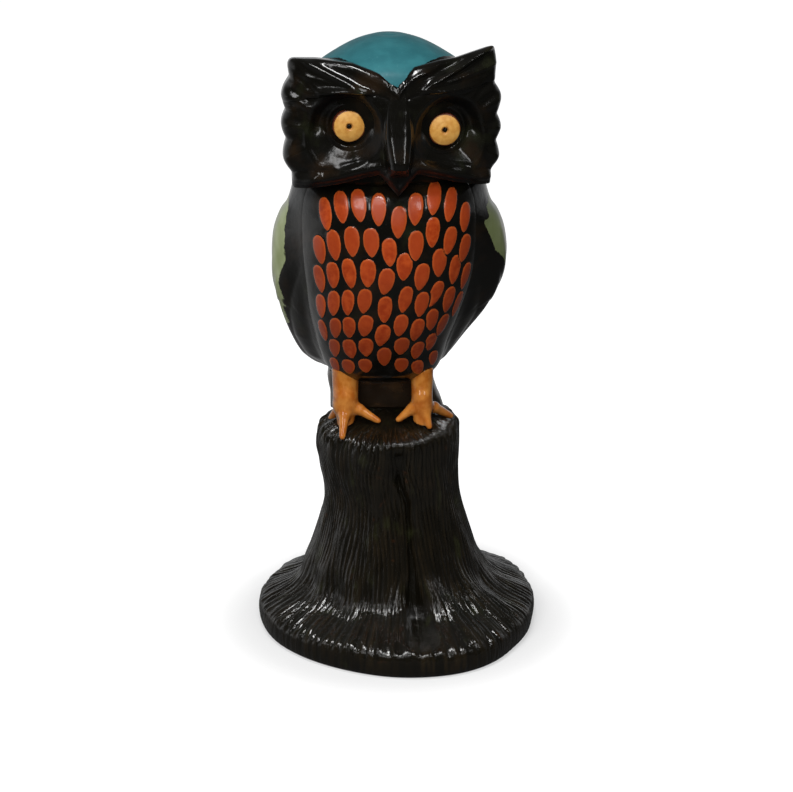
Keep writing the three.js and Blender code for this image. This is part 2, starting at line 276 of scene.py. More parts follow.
def turned(points):
    """From the head's frame to the figure's."""
    x, y, z = points.T
    return np.stack([*turned_level(x, y), z], 1)


def turned_level(u, v):
    """The figure's x and y of a place in the head's frame."""
    c, s = math.cos(HEAD_TURN), math.sin(HEAD_TURN)
    return c * u - s * v + OWL_X, s * u + c * v


# ---------------- stump


def stump_profile():
    top = STUMP_TOP
    rows = (
        # height, half width and half depth as parts of the base's radius, centre x
        (0, 0.955, 0.955, 0), (2, 0.988, 0.988, 0), (7.5, 1, 1, 0), (12.2, 0.985, 0.985, 0),
        (15.3, 0.93, 0.93, 0), (18.4, 0.84, 0.84, 0), (21.8, 0.752, 0.752, 0), (27.2, 0.67, 0.67, -0.5),
        (37, 0.608, 0.617, -1.8), (51, 0.542, 0.55, -2.1), (64, 0.495, 0.497, -2.2),
        (74, 0.478, 0.472, -2.7), (86, 0.488, 0.483, -4.1), (0.84 * top, 0.502, 0.498, -4.8),
        (0.90 * top, 0.499, 0.495, -4.8), (0.938 * top, 0.477, 0.478, -4.6),
        (0.957 * top, 0.435, 0.431, -4.8), (0.974 * top, 0.345, 0.342, -4.8),
        (0.992 * top, 0.18, 0.18, -4.8), (top, 0.05, 0.05, -4.8),
    )
    return Profile([(z, w * BASE_RADIUS, d * BASE_RADIUS, x, 0) for z, w, d, x in rows], squareness=2.0)


# How far the top falls away at the viewer's side, at the back and at the owl's right side.
FRONT_SINK = 4.2
BACK_SINK = 2.5
SIDE_SINK = 3.6
# The foot isn't round: how far it bulges, at which angle from the viewer's side, and how widely.
FOOT_BULGES = (
    (0.085, 0.5, 0.42), (0.03, 0, 0.3), (-0.01, -0.75, 0.4), (0.045, 2.2, 0.4), (0.005, -2.2, 0.4),
)


def front_hollow(front, z):
    """A hollow under the rim ends in a pit; from it a crease steps aside and opens into the skirt."""
    crease = front - (0.17 + 0.08 * step(86, 72, z) - 0.05 * step(40, 18, z))
    hollow = bump(crease, 0.15) * step(82, 92, z) * step(0.945 * STUMP_TOP, 0.88 * STUMP_TOP, z)
    split = bump(crease, 0.04 + 0.05 * step(45, 25, z)) * step(12, 24, z) * step(90, 82, z)
    pit = bump(crease / 0.07, 1) * bump((z - 86) / 4, 1)
    swell = step(-0.01, 0.15, crease) * step(0.7, 0.3, crease) * step(12, 30, z) * step(100, 80, z)
    return -3.2 * hollow - (2.6 + 1.8 * step(42, 24, z)) * split - 2.0 * pit + 1.2 * swell


def valleys(count, angle):
    """1 in each of count narrow valleys around, 0 on the rounded crests between them."""
    return 1 - np.abs(np.sin(count * angle / 2)) ** 0.7


def combed_grooves(angle, z):
    """Wavy lines that run down the trunk and fan out over the skirt, shallow on the side and the top."""
    drift = 0.05 * waves(angle, z, 5, 6, 4, 60) + 0.012 * waves(angle, z, 6, 8, 14, 22)
    other = 0.04 * waves(angle, z, 15, 6, 5, 50) + 0.014 * waves(angle, z, 16, 8, 12, 24)
    patch = step(-0.25, 0.25, waves(angle, z, 17, 6, 7, 45))
    comb = patch * valleys(112, angle + drift) + (1 - patch) * valleys(97, angle + other)
    strength = 0.8 + 0.35 * waves(angle, z, 9, 9, 30, 26)
    side = step(13.2, 9.6, z)
    top = step(0.935 * STUMP_TOP, 0.955 * STUMP_TOP, z)
    depth = 0.85 * (1 - 0.75 * side) * (1 - 0.9 * top)
    return -depth * strength.clip(0.15, 1.3) * comb


def crinkled_rims(angle, z):
    """Uneven edges of the top and of the foot, and soft folds all over."""
    crinkle = waves(angle, z, 11, 12, 70, 12)
    rim = bump((z - 0.94 * STUMP_TOP) / 3.2, 1)
    foot = bump((z - 13.6) / 2.6, 1)
    folds = (0.5 + 0.7 * step(45, 25, z) * step(14, 22, z)) * (0.35 + 0.65 * step(9, 20, z))
    return (0.5 + 0.8 * crinkle) * rim + 0.5 * crinkle * foot + folds * waves(angle, z, 13, 8, 14, 30)


def make_stump():
    levels, around = 128, 776
    z, w, d, cx, cy = (v[:, None] for v in stump_profile().rows(levels))
    angle = (np.arange(around) / around * 2 * math.pi)[None, :]
    front = np.angle(np.exp(1j * (angle + math.pi / 2)))  # 0 at the viewer's side
    lobes = waves(angle, z, 3, 5, 5, 180)
    low_down = step(40, 16, z)
    bulge = sum(out * bump(front - at, wide) for out, at, wide in FOOT_BULGES)
    shape = 1 + 0.012 * lobes * (1 - low_down) + bulge * low_down
    depth = front_hollow(front, z) + crinkled_rims(angle, z)
    grooves = combed_grooves(angle, z)
    push = (depth + grooves) * step(0, 2.5, z)
    slope_z = np.gradient(z[:, 0])[:, None]
    slope_r = np.gradient(w[:, 0])[:, None]
    length = np.hypot(slope_z, slope_r) + 1e-9
    out, up = slope_z / length, -slope_r / length
    x = cx + (w * shape + push * out) * np.cos(angle)
    y = cy + (d * shape + push * out) * np.sin(angle)
    away = FRONT_SINK * np.clip(-y / 35, 0, 1.1) ** 1.3 + BACK_SINK * np.clip(y / 35, 0, 1.1) ** 1.5
    away = away + SIDE_SINK * bump(front + 1.7, 0.55) * step(22, 34, np.hypot(x - cx, y - cy))
    sink = away * step(86, 104, z)
    points = np.stack([x, y, np.maximum(z + push * up - sink, 0)], -1)
    # For the paint: the grooves' depth, and the depth of the hollow, crease and pit under the rim, which
    # keeps them dark as painted shade.
    shade = np.minimum(grooves / 0.8, 0.6 * np.minimum(depth + 0.6, 0))
    return tube_object("stump_bark", points, {"groove": shade})


# ---------------- body and feathers


def torso_profile():
    rows = (
        (131, 15, 12, 0, 3), (132.5, 23, 18.5, 0, 2), (137, 27.4, 23.5, 0, 0), (144, 30.6, 28, 0, 0),
        (153, 33.6, 32.8, 0, 0), (168, 39, 39, 0, 0), (186, 44, 42.7, 0, 0), (202, 46.5, 43.4, 0, 0),
        (215, 46.7, 42.7, 0, 0), (223, 45.5, 40.8, 0, 0), (228, 44.2, 38.2, 0, 0),
        (231.5, 42.4, 35.4, 0, 0), (236, 36.5, 30.5, 0, 0), (239, 24, 24, 0, 0), (239.8, 9, 8, 0, 0),
    )
    return Profile(leaning(rows), squareness=2.15)


def drop(x, y, length, width):
    """Distance to an egg-shaped drop with its wide end up, centred on (0, 0)."""
    half = length / 2
    along = y / half
    swell = 1 + 0.35 * np.clip(along, -1.2, 1.2) - 0.06 * np.sin(math.pi * along)
    across = x / (0.95 * width / 2 * swell)
    reach = np.hypot(across, along) + 1e-6
    steepness = np.hypot(across / (width / 2), along / half) / reach
    return (reach - 1) / steepness


FEATHER_PITCH = 9.0
# Each column of drops sits a little higher or lower than a straight row.
COLUMN_RISE = (-4.8, -0.8, 2.0, 4.2, -2.8, 5.4, -0.6, 6.8, 0.5, -1.5)
TOP_ROW_RISE = (-2.0, 2.3, 3.4, 2.2, -3.8, 1.9, 6.6, 3.0, -4.4)
FEATHER_ROWS = (
    # height, drop length, drop width, column shift, column pitch, outermost columns, and how far
    # the columns left and right of the middle stand apart from it
    (221.5, 14.8, 7.4, 0.52, 1.0, -4, 4, 0, -1.4),
    (207.4, 14.4, 7.7, 0.05, 1.0, -4, 5, 0.2, -6.0),
    (193.2, 14.2, 7.7, -0.08, 0.97, -4, 5, -0.4, -1.2),
    (178.6, 13.4, 7.2, -0.1, 0.86, -4, 5, -2.4, 1.8),
    (165.6, 12.2, 7.2, -0.05, 0.86, -4, 4, -0.5, 0.5),
    (153.6, 10.8, 7.6, 0.1, 0.92, -3, 3, 0, 0),
    (143.4, 9.0, 7.4, 0.1, 0.98, -3, 3, 0, 0),
)
# Row and column of the one drop that isn't painted.
LEFT_OUT = (1, 1)
# Least dark gap between two drops, and the height that the lowest ones stay above.
FEATHER_GAP = 0.8
LAST_FEATHER = 139.2


def place_feathers():
    """Centre, height, length, width, tilt and shade of each drop; none runs into the one above."""
    rng = np.random.default_rng(21)
    drops = []
    for row, (height, length, width, shift, pitch, first, last, *apart) in enumerate(FEATHER_ROWS):
        calm = 1 - 0.12 * row
        for column in range(first, last + 1):
            if (row, column) == LEFT_OUT:
                continue
            rise = (COLUMN_RISE if row else TOP_ROW_RISE)[column + 4]
            aside = 0 if column == 0 else apart[column > 0]
            centre = (column + shift) * FEATHER_PITCH * pitch + aside + rng.normal(0, 0.35)
            long = length * rng.uniform(0.93, 1.04)
            wide = width * rng.uniform(0.93, 1.05)
            level = height + calm * rise + rng.normal(0, 0.4)
            above = [d for d in drops if abs(d[0] - centre) < 0.55 * wide]
            for _, other, other_long, *_ in above:
                level = min(level, other - other_long / 2 - FEATHER_GAP - long / 2)
            tilt = rng.normal(0, 0.03 + 0.02 * row) - 0.005 * centre
            shade = rng.uniform(-1, 1)
            if level > LAST_FEATHER:
                drops.append((centre, level, long, wide, tilt, shade))
    return drops


def feather_field(across, z):
    """Signed distance to the nearest painted drop, and a random tint for each drop."""
    nearest = np.full(across.shape, 9.0)
    tint = np.zeros(across.shape)
    for centre, level, long, wide, tilt, shade in place_feathers():
        x, y = across - centre, z - level
        c, s = math.cos(tilt), math.sin(tilt)
        d = drop(c * x + s * y, c * y - s * x, long, wide)
        tint = np.where(d < np.minimum(nearest, 0.5), shade, tint)
        # Where two drops would touch, a dark line stays between them.
        d = np.maximum(d, FEATHER_GAP - nearest)
        nearest = np.minimum(nearest, d)
    return nearest, tint


def make_torso():
    levels, around = 262, 330
    profile = torso_profile()
    z, w, d, cx, cy = (v[:, None] for v in profile.rows(levels))
    s = (np.arange(around) / around * 2 - 1)[None, :] * math.pi
    turn = s - 0.5 * np.sin(s)  # angle from the front, denser there
    angle = turn - math.pi / 2
    reach = profile.reach(angle)
    x = cx + w * reach * np.cos(angle)
    y = cy + d * reach * np.sin(angle)
    base = np.stack([x, y, z + 0 * x], -1)
    # Distance along each level section from the front line.
    hop = np.linalg.norm(np.diff(base, axis=1), axis=2)
    across = np.concatenate([np.zeros((levels, 1)), np.cumsum(hop, 1)], 1)
    middle = np.argmin(np.abs(turn[0]))
    across = across - across[:, middle][:, None]
    feather, tint = feather_field(across, z + 0 * x)
    normal = grid_normals(base)
    raised = 0.3 * step(0.5, -0.9, feather)
    uneven = 0.22 * waves(angle, z, 31, 9, 7, 30)
    calm = step(-1, -9, behind_wing_front(y, z))  # the unevenness dies out towards the wing
    seat = wing_seat(y, z)
    points = base + ((raised + uneven * calm) * (1 - seat / WING_RECESS) - seat)[..., None] * normal
    return tube_object("breast", points, {"feather": feather, "tint": tint})


def grid_normals(points):
    """Outward normals of a grid of points[level, around]."""
    up = np.gradient(points, axis=0)
    side = (np.roll(points, -1, 1) - np.roll(points, 1, 1)) / 2
    normal = np.cross(side, up)
    return normal / (np.linalg.norm(normal, axis=2, keepdims=True) + 1e-12)


# ---------------- wings


def wing_profile():
    rows = (
        (123, 16, 22, -3, 10), (128, 28.5, 31, -3.5, 8), (138, 36.5, 37, -3.5, 6),
        (151, 42.8, 41, -2.3, 5), (166, 50, 45, -0.6, 4), (180, 55, 47.5, 0, 3), (193, 56.6, 48, 0, 3),
        (205, 55.6, 46, 0, 3), (214, 52.4, 43.5, 0, 2), (219, 49.0, 42, 0, 1), (225, 46.8, 40.5, 0, 1),
        (231.5, 45.4, 39.5, 0, 1),
    )
    return Profile(leaning(rows))


# The wing's front and back edges, as (z, y).
WING_FRONT = ((120, 21), (129, 8), (139, -3), (151, -11), (165, -17), (180, -21), (195, -23),
              (208, -24), (218, -23), (232, -20))
WING_BACK = ((124, 38), (138, 47), (160, 60), (230, 60))
WING_RECESS = 1.3
PRIMARY_PITCH = 9.5
# The olive patch begins at these y on each wing, and its edge is as ragged as this.
PATCH_HEIGHTS = (150, 158, 173, 198, 212, 219, 227)
PATCH_FRONT = {"left": (32, 22, 6, -14, -17, -12, 2), "right": (20, 0, -7, -14, -13.5, -9.5, 3)}
PATCH_RAGGED = {"left": 1.1, "right": 0.5}


def edge_at(z, edge):
    """The y of an edge at each height."""
    return np.interp(z, *np.array(edge).T)


def primaries(y, z):
    """0 in the valleys between the long flight feathers and 1 on their crests."""
    return np.abs(np.cos(math.pi * (y + 0.55 * (z - 130)) / PRIMARY_PITCH))


def behind_wing_front(y, z):
    """Distance behind the wing's front edge."""
    return y - edge_at(z, WING_FRONT)


def wing_seat(y, z):
    """How far the body is cut back to let the wing in flush."""
    return WING_RECESS * step(1.6, 4.2, behind_wing_front(y, z))


def make_wing(side, name):
    """A shell on the body's side, with the distance inside its olive patch and its primaries' valleys."""
    outer = wing_profile()
    inner = torso_profile()

    def distance(x, y, z):
        body = inner.distance(x, y, z)
        behind_front = behind_wing_front(y, z)
        # The shell comes out of the breast in a thin line and reaches its full thickness behind.
        full = step(0, 17, behind_front)
        flush = body + 0.32 * step(2.6, 0, behind_front) - 0.12
        d = flush * (1 - full) + outer.distance(x, y, z) * full
        d = d - (primaries(y, z) - 0.6) * 1.1 * step(200, 172, z) * step(2, 8, behind_front)
        # Lower end of the coverts: a stepped edge above the flight feathers.
        step_edge = z - 166 - 0.5 * (y + 12) - 1.5 * np.sin(y * 1.3)
        d = d - 0.5 * step(-0.6, 0.6, step_edge) * full
        d = meet(d, -behind_front, 0.8)
        d = meet(d, y - edge_at(z, WING_BACK), 4)
        d = meet(d, 7 - side * (x - OWL_X - lean_at(z)), 4)
        return np.maximum(d, -0.9 - body - wing_seat(y, z))

    def paint(points):
        x, y, z = points.T
        out = side * (x - OWL_X - lean_at(z))
        front = np.interp(z, PATCH_HEIGHTS, PATCH_FRONT[name])
        ragged = PATCH_RAGGED[name] * waves(np.arctan2(y, out), z, 41, 8, 40, 9)
        patch = np.minimum((y - front) * 0.8, np.minimum((226 - z), (z - 150 - 0.2 * (y - 26))))
        patch = np.minimum(patch, 34 - y + 0.25 * (z - 180)) + ragged
        return {"patch": patch, "valley": primaries(y, z) + step(172, 200, z)}

    return sculpt("wing_shell_" + name, distance, box_mm("wing_" + name, ROOM), voxel=0.62, paint=paint)


# ---------------- tail

QUILL_PITCH = 8.2


def make_tail():
    middle = OWL_X - 6
    haunch_rows = (
        (96, 28, 9, 3, 15), (106, 29, 11, 2.8, 12), (116, 27.8, 14.5, 1.6, 9), (121, 26.8, 16, 0.6, 8),
        (127, 26.4, 17.5, -0.8, 7), (132, 26.2, 18.4, -1.0, 5.5), (140, 25, 20, 0, 4),
    )
    fan_rows = (
        (79, 12, 2.4, middle + 1, 43), (84, 18, 4.2, middle + 1, 42.5), (100, 22, 6, middle, 38.5),
        (116, 22.5, 8.5, middle, 31), (130, 21, 11, middle, 23), (140, 16, 9, middle + 1, 18),
    )
    haunch = Profile(leaning(haunch_rows), squareness=2.6)
    fan = Profile(fan_rows, squareness=2.8)
    body = torso_profile()
    bark = stump_profile()

    def distance(x, y, z):
        turn = math.pi * (x - middle) / QUILL_PITCH
        quill = 0.9 * np.abs(np.cos(turn + 0.02 * (z - 100)))
        tip = 3.0 * np.abs(np.cos(turn))
        rear = np.maximum(fan.distance(x, y, z) - quill + 0.5, 84 - tip - z)
        d = join(rear, haunch.distance(x, y, z), 4)
        d = np.maximum(d, 0.15 - body.distance(x, y, z))
        return np.maximum(d, 0.5 - bark.distance(x, y, z))

    return sculpt("tail_feathers", distance, box_mm("tail", ROOM), voxel=0.6)


# ---------------- legs

LEGS = {
    # ankle x and y, shank radius, toe tips
    "left": ((16.0, -16), 5.4, ((4.6, -19, 114.0), (19.6, -21.5, 111.2), (30.5, -5, 111.2))),
    "right": ((-21.4, -16), 6.5, ((-5.4, -20, 113.6), (-22.8, -28, 108.2), (-28.8, -8, 111.2))),
}
ANKLE_Z = 120.5
SOLE_Z = 112.0
SHANK_LEAN = 0.2
SHANK_RISE = 24
LEG_TOP = 139.0


def limb(x, y, z, start, end, r0, r1):
    """Distance to a straight rod that goes from radius r0 at its start to r1 at its end."""
    run = end - start
    px, py, pz = x - start[0], y - start[1], z - start[2]
    t = np.clip((px * run[0] + py * run[1] + pz * run[2]) / run.dot(run), 0, 1)
    gap = np.sqrt((px - t * run[0]) ** 2 + (py - t * run[1]) ** 2 + (pz - t * run[2]) ** 2)
    return gap - (r0 + (r1 - r0) * t)


def make_leg(name):
    (ankle_x, ankle_y), radius, toes = LEGS[name]
    ankle = np.array([ankle_x + OWL_X, ankle_y, ANKLE_Z])
    hip = ankle + SHANK_RISE * np.array([0, SHANK_LEAN, 1])
    sole = np.array([ankle[0], ankle_y - 1, SOLE_Z])
    shin = ankle + (0, -1.1, 4.5)
    body = torso_profile()
    bark = stump_profile()

    def distance(x, y, z):
        d = limb(x, y, z, ankle, hip, radius * 0.93, radius * 1.08)
        d = join(d, limb(x, y, z, ankle, sole, radius * 0.9, 4.2), 1.6)
        d = join(d, limb(x, y, z, shin, ankle, radius * 0.8, radius * 0.84), 2.0)
        for toe in toes:
            tip = np.array(toe) + (OWL_X, 0, 0)
            knuckle = 0.42 * tip + 0.58 * ankle + (0, 0, 1.2)
            d = join(d, limb(x, y, z, ankle, knuckle, 3.3, 2.7), 1.6)
            d = join(d, limb(x, y, z, knuckle, tip, 2.7, 1.5), 1.0)
        d = meet(d, z - LEG_TOP, 0.8)
        # The leg goes a little way into the body and the stump.
        d = np.maximum(d, -1.5 - body.distance(x, y, z))
        return np.maximum(d, -0.6 - bark.distance(x, y, z))

    return sculpt("leg_and_toes_" + name, distance, box_mm("leg_" + name, ROOM), voxel=0.42)


# ---------------- head

SCALLOP_ANGLE = math.radians(27)
SCALLOP_FIRST = math.radians(52)


def skull_profile():
    rows = (
        (226, 30, 26, 0, 2), (230, 38, 32, 0, 2), (236, 43, 37, 0, 2), (248, 45, 40, 0, 2),
        (262, 45, 41, 0, 2), (275, 42, 41, 0, 0), (285, 35, 37.5, 0, -3), (291.5, 26, 30, 0, -3.5),
        (296.5, 16.5, 20.5, 0, -3.5), (299.3, 7.5, 10, 0, -3.5), (CROWN, 2.5, 3.5, 0, -3.5),
    )
    return Profile(rows)


def by_side(u, right, left):
    """One value on the owl's right half of the face and another on its left."""
    return np.where(u < 0, right, left)


def crown_edge(u):
    """Height of the painted crown's edge on the brow, lowest in the middle."""
    au = np.abs(u)
    return 280 + by_side(u, 15.5 * (1 - np.exp(-au / 19)), 12 * (1 - np.exp(-au / 7.5)))


def brow_crest(u):
    """Height of the main brow ridge, which runs straight out to the tuft."""
    au = np.abs(u)
    return by_side(u, 271.0 + 0.5 * au, 274.0 + 0.505 * au)


def face_top(u):
    """Height of the face's upper edge."""
    au = np.abs(u)
    right = np.interp(au, (0, 8, 20, 30, 36, 50), (281, 286.2, 290.8, 292.0, 292.7, 293.0))
    left = np.interp(au, (0, 8, 20, 28, 36, 43, 50), (281, 288.2, 291.2, 292.4, 295.0, 297.2, 298.8))
    return by_side(u, right, left)


def tuft_seam(u):
    """Height of the seam under the brow, where the tuft is joined on."""
    au, spots = np.abs(u), (0, 10, 18, 30, 50)
    right = np.interp(au, spots, (273, 276.2, 276.6, 275.6, 271.5))
    left = np.interp(au, spots, (273, 276.2, 276.6, 277.6, 280.4))
    return by_side(u, right, left)


def lower_edge(u):
    """Height of the face's lower edge, with the point under the beak."""
    au = np.abs(u)
    border = np.interp(au, (0, 9, 17, 27, 36, 50), (240.6, 240.3, 238.3, 235.4, 233.3, 231.8))
    return border - 10.8 * np.clip(1 - np.abs(u - 0.4) / 8.8, 0, 1)


def eye_polar(u, w):
    """Radius and angle round the nearer eye; the angle grows upwards from the outer side."""
    du, dw = np.abs(u) - EYE_HALF, w - by_side(u, EYE_Z["right"], EYE_Z["left"])
    return np.hypot(du, dw), np.arctan2(dw, du)


def bowl_radius(angle):
    """The eye hollow's radius in each direction: widest down and outwards."""
    degrees = (-180, -150, -125, -100, -75, -50, -25, 0, 45, 80, 100, 135, 180)
    radii = (14.3, 16.0, 17.3, 17.9, 20.0, 23.2, 21.0, 18.6, 17.6, 16.2, 15.6, 14.2, 14.3)
    return np.interp(np.degrees(angle), degrees, radii)


def scallop_turn(angle):
    """Half a turn for each of the scallops that fan out round the eye."""
    return math.pi * (angle - SCALLOP_FIRST) / SCALLOP_ANGLE


def scallops(angle):
    """1 on the crest of each scallop, 0 in the notches between them."""
    return np.abs(np.cos(scallop_turn(angle)))


def beak_ridge(w):
    """How far the beak stands out of the face at each height, and its half width."""
    heights = (229, 237, 240.5, 243, 245, 248, 253, 259, 265, 271, 277, 281)
    out = (0.0, 0.6, 2.6, 7.6, 9.9, 9.9, 7.6, 4.9, 2.9, 1.3, 0.4, 0.0)
    half = (4.6, 4.8, 4.3, 4.0, 4.4, 4.9, 5.3, 5.4, 5.0, 4.4, 3.6, 3.0)
    return np.interp(w, heights, out), np.interp(w, heights, half)


def brow_relief(u, w):
    """Ridges that part from the middle: the highest runs out to the tuft's tip, the lowest over the eye."""
    au = np.abs(u)
    crest = brow_crest(u)
    lowest = 278.7 + 0.06 * by_side(u, -1, 1) * np.maximum(au - 26, 0)
    apart = step(11, 24, au)
    main = by_side(u, 1.9, 3.0) * np.exp(-np.abs((w - crest) / 1.6) ** 1.8) * step(9, 18, au)
    middle = by_side(u, 0.35, 1.3) * bump(w - (0.52 * crest + 0.48 * lowest), 1.0)
    lower = 0.15 * bump(w - 0.25 * (crest + 3 * lowest), 0.9)
    lid = 2.2 * bump(w - lowest, 1.5) * step(9, 16, au) * step(44, 30, au)
    seam = 1.2 * bump(w - tuft_seam(u), 1.7) * step(26, 38, au)
    edge = crown_edge(u)
    rim = by_side(u, 0.4, 1.4) * bump(w - edge + 2.8, 1.2) * step(20, 11, au)
    trough = by_side(u, 0.7, 1.4) * bump(w - 0.5 * (crest + edge), 2.4) * step(12, 22, au)
    return main + (middle + lower) * apart + lid - seam + rim - trough


def eye_relief(u, w):
    """The eye's hollow, a ring round its disc, and the scallops that fan out to the face's side.

    The hollow has a flat sloping wall below and a steep one under the brow.
    """
    r, angle = eye_polar(u, w)
    q = r / bowl_radius(angle)
    downward = np.sin(angle)
    wall = 0.3 + 0.24 * step(0.0, -0.5, downward)
    slope = np.clip((1 - q) / wall, 0, 1)
    hollow = 6.4 * (slope - 0.12 * np.sin(2 * math.pi * slope) / (2 * math.pi))
    lip = 0.6 * bump(q - 1.0, 0.07) * step(0.3, -0.3, downward)
    ring = 1.5 * bump(r - 9.8, 1.0)
    fan = step(-1.25, -1.0, angle) * step(0.95, 0.75, angle)
    fade = step(0.93, 1.45, q) * (1 - 0.6 * step(0.3, 0.6, angle))
    feathers = 2.2 * (scallops(angle) - 0.64) * fade
    barbs = 0.5 * np.cos(4 * scallop_turn(angle)) * step(1.0, 1.25, q)
    return lip + ring - hollow + (feathers + barbs) * fan


def face_front(u, w):
    """How far the face stands forward of the head's axis."""
    au = np.abs(u)
    high = np.maximum(w - 266, 0) ** 2
    base = 43.2 - 0.0062 * u**2 - 0.004 * np.maximum(250 - w, 0) ** 2
    base = base - high * (0.0055 * step(50, 20, au) + 0.0020 * step(20, 50, au))
    # The lower border is rolled, with a groove above it.
    low = w - lower_edge(u)
    border = 1.3 * bump(low - 4.4, 2.2) - 0.9 * bump(low - 8.2, 1.5) * step(9, 14, au)
    border = border - 1.0 * bump(low - 1.9, 0.8) * step(8, 13, au)
    out, half = beak_ridge(w)
    beak = out * np.clip(1 - (au / (half * 1.32)) ** 3.6, 0, 1) ** 0.8
    return base + brow_relief(u, w) + eye_relief(u, w) + border + beak


def face_outline(u, v, w):
    """Signed distance to the face's outline, seen from the front."""
    _, angle = eye_polar(u, w)
    heights = (228, 234, 240, 246, 262, 275, 284, 296)
    widths = (44.8, 45.6, 47.2, 49.0, 49.6, 49.4, 47.4, 46.4)
    half = np.interp(w, heights, widths) + 2.0 * (scallops(angle) - 0.62) * step(-1.25, -1.0, angle)
    side = np.abs(u + 1.2) - half - 0.8
    # The tufts fall away a little towards the back.
    top = (w - face_top(u) + by_side(u, 0.09, 0.18) * (v + 30)) * 0.88
    low = (lower_edge(u) - w) * 0.85
    return meet(meet(side, top, by_side(u, 4.0, 2.4)), low, 1.2)


def clear_of_body(d, body, gap, u, v, w):
    """A distance in the head's frame, cut back to a gap from the body."""
    return np.maximum(d, gap - body.distance(*turned_level(u, v), w))


def beak_edge(u, w):
    """Distance inside the beak's outline."""
    _, half = beak_ridge(w)
    return np.minimum(half * 1.3 - np.abs(u), w - 228)


def brow_edge(u, w, side):
    """Distance inside the outline of a brow and its tuft."""
    return np.minimum(w - tuft_seam(u), side * u - 3.0)


def dull_paint_and_shade(points):
    """1 where the paint is duller and painted darker as shade: high and inside in the eyes' hollows, and
    under the face.
    """
    u, _, w = points.T
    r, angle = eye_polar(u, w)
    upward = np.cos(angle - math.radians(125))
    hollow = step(1.15, 0.95, r / bowl_radius(angle)) * step(-0.55, 0.1, upward)
    under = np.maximum(step(5.5, 3, w - lower_edge(u)), step(246, 243, w) * step(10, 8, np.abs(u)))
    return {"matte": np.maximum(hollow, under)}


def make_face():
    """The facial disc, the two brows with their tufts, and the beak.

    They are one carved surface. The disc sinks a little below it where another piece lies on top, and
    each of those pieces dips into the disc along its edge.
    """
    body = torso_profile()
    skull = skull_profile()

    def whole(u, v, w):
        front = meet(face_outline(u, v, w), (-v - face_front(u, w)) * 0.8, 3.2)
        d = np.maximum(meet(front, v + 7, 12), -1.0 - skull.distance(u, v, w))
        return clear_of_body(d, body, -1.0, u, v, w)

    def disc(u, v, w):
        inside = np.maximum(beak_edge(u, w), np.maximum(brow_edge(u, w, 1), brow_edge(u, w, -1)))
        return whole(u, v, w) + 0.9 * step(0.2, 2.6, inside)

    def laid_on(edge, depth):
        """A piece of the carved surface inside an outline, down to a depth below it."""

        def distance(u, v, w):
            inside = edge(u, w)
            surface = whole(u, v, w)
            dip = 0.4 * step(1.5, 0.3, inside)
            return np.maximum(np.maximum(surface + dip, -inside), -depth - surface)

        return distance

    def brow(side):
        return laid_on(lambda u, w: brow_edge(u, w, side), 9.0)

    beak = laid_on(beak_edge, 8.0)
    pieces = (
        # key, piece's name, distance, room, voxel, paint
        ("disc", "face_disc", disc, ((-56, -56, 226), (55, -4, 301)), 0.6, dull_paint_and_shade),
        ("left", "brow_and_tuft_left", brow(1), ((2, -50, 268), (54, -4, 301)), 0.5, None),
        ("right", "brow_and_tuft_right", brow(-1), ((-55, -50, 266), (-2, -4, 299)), 0.5, None),
        ("beak", "beak_ridge", beak, ((-10, -57, 226), (10, -33, 284)), 0.4, dull_paint_and_shade),
    )
    return {
        key: sculpt(name, distance, room, voxel, turned, paint)
        for key, name, distance, room, voxel, paint in pieces
    }


def make_skull():
    """The rounded head behind the face, with the painted crown's edge as a signed distance."""
    profile = skull_profile()
    body = torso_profile()

    def distance(u, v, w):
        return clear_of_body(profile.distance(u, v, w), body, 0.3, u, v, w)

    def paint(points):
        u, v, w = points.T
        front = step(12, -24, v)
        edge_back = 281 + 5 * np.clip(np.abs(u) / 30, 0, 1)
        return {"cap": w - (edge_back + (crown_edge(u) - edge_back) * front)}

    room = ((-49, -46, 222), (49, 47, 303))
    return sculpt("skull_and_crown", distance, room, voxel=0.62, place=turned, paint=paint)


# Depths in the head's frame: the eye disc's rim, its back, the pupil's top and its foot.
EYE_FRONT = -36.9
EYE_BACK = -33.4
PUPIL_FRONT = -37.9
PUPIL_FOOT = -31.5
# Radii of the hole in the eye disc and of the pin in it.
PIN_HOLE = 1.18
PIN_RADIUS = 1.12


def round_eye(side, name, radius, angle, depth):
    """Places at a radius and angle round the eye's middle, in the head's frame."""
    u = side * EYE_HALF + radius * np.cos(angle)
    w = EYE_Z[name] + radius * np.sin(angle)
    return np.stack([u, depth + 0 * u, w], -1)


def with_back(front, depth):
    """The same points drawn straight back to a depth."""
    back = front.copy()
    back[..., 1] = depth
    return back


def make_eye(side, name):
    """A domed disc with an uneven rim, a scribed ring and a pin hole."""
    around, rings = 96, 40
    rng = np.random.default_rng(50 + side)
    angle = np.linspace(0, 2 * math.pi, around, endpoint=False)[None, :]
    t = np.linspace(0, 1, rings)[:, None]
    domed = 0.85  # the part of t that is on the disc's face; the rest is its rounded edge
    top = np.minimum(t / domed, 1)
    wobble = 0.028 * np.sin(2 * angle + rng.uniform(0, 6)) + 0.012 * np.sin(5 * angle + rng.uniform(0, 6))
    radius = (PIN_HOLE + (EYE_RADIUS - PIN_HOLE) * top) * (1 + wobble * top)
    reach = radius / EYE_RADIUS
    dome = 1.7 * (1 - reach**2.4) - 0.05 * bump(radius - 3.5, 0.4)
    lip = 1.6 * step(domed, 1, t) ** 0.7
    forward = dome - lip - 0.7 * bump(radius - PIN_HOLE, 0.35)
    front = round_eye(side, name, radius, angle, EYE_FRONT - forward)
    points = np.vstack([with_back(front, EYE_BACK), front[::-1]]).reshape(-1, 3)
    quads = grid_quads(2 * rings, around).reshape(-1, 4)
    rim = np.vstack([reach, reach[::-1]])
    return make_object("eye_disc_" + name, turned(points), [quads], {"rim": rim})


